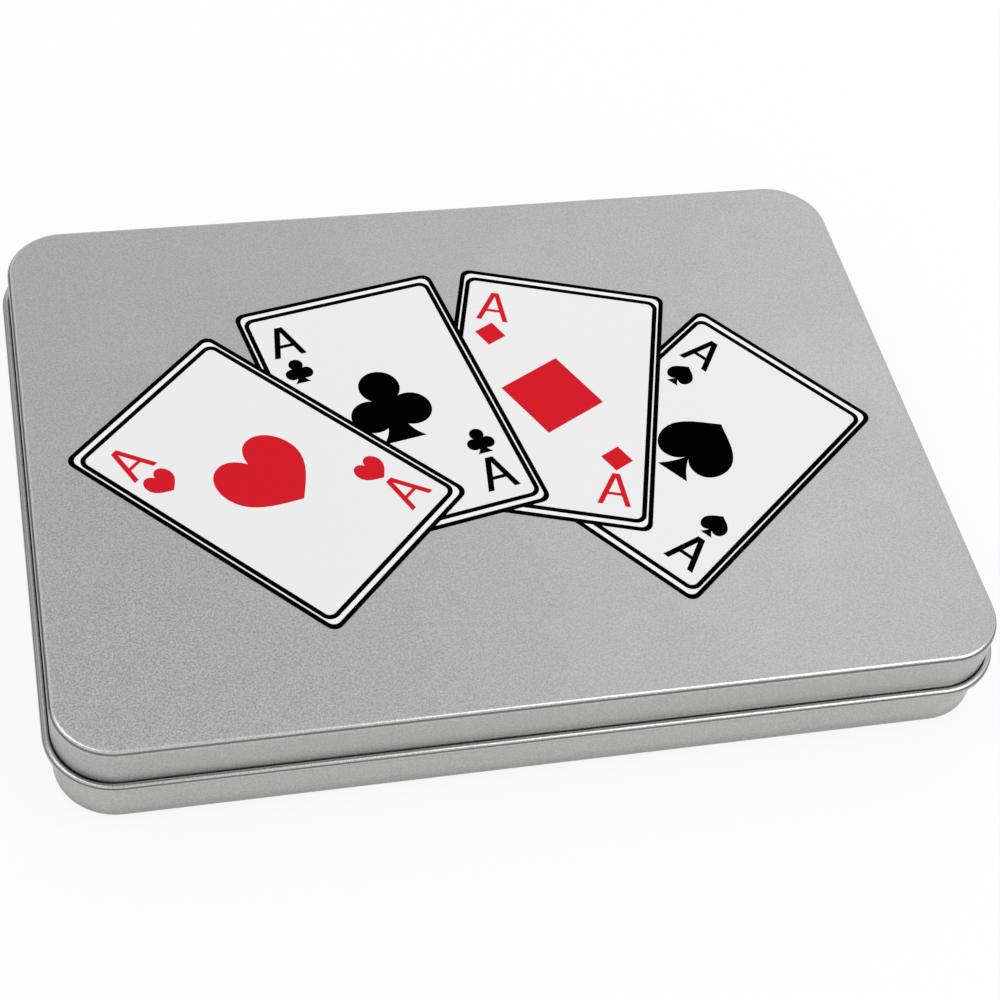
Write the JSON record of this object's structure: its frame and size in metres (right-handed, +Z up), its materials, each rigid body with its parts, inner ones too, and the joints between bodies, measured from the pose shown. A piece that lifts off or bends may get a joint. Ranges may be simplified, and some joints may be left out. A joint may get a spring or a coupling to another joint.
{
  "type": "hinged card game tin",
  "caption": "Flat rectangular tinplate case with a wire-hinged lid, rolled edges and a formed tray of playing card decks; four aces printed on the lid.",
  "frame": {"origin": "on the table under the middle of the closed case", "axes": "+X along the width, to the right as seen from the front; +Y to the hinged back; +Z up"},
  "size_m": [0.2034, 0.1494, 0.0232],
  "materials": {
    "lid_tinplate": "satin",
    "base_tinplate": "satin",
    "hinge_wire": "satin",
    "tray_plastic": "matte",
    "card_deck": "satin"
  },
  "bodies": {
    "base": {"base_shell": "base_tinplate", "insert_tray": "tray_plastic", "deck_front_left": "card_deck", "deck_front_right": "card_deck", "deck_back_left": "card_deck", "deck_back_right": "card_deck"},
    "lid": {"lid_shell": "lid_tinplate", "hinge_wire_left": "hinge_wire", "hinge_wire_right": "hinge_wire"}
  },
  "joints": [
    {"name": "lid_hinge", "type": "hinge", "parent": "base", "child": "lid", "pos_m": [0, 0.0737, 0.01245], "axis": [-1, 0, 0], "range_deg": [0, 180]}
  ]
}
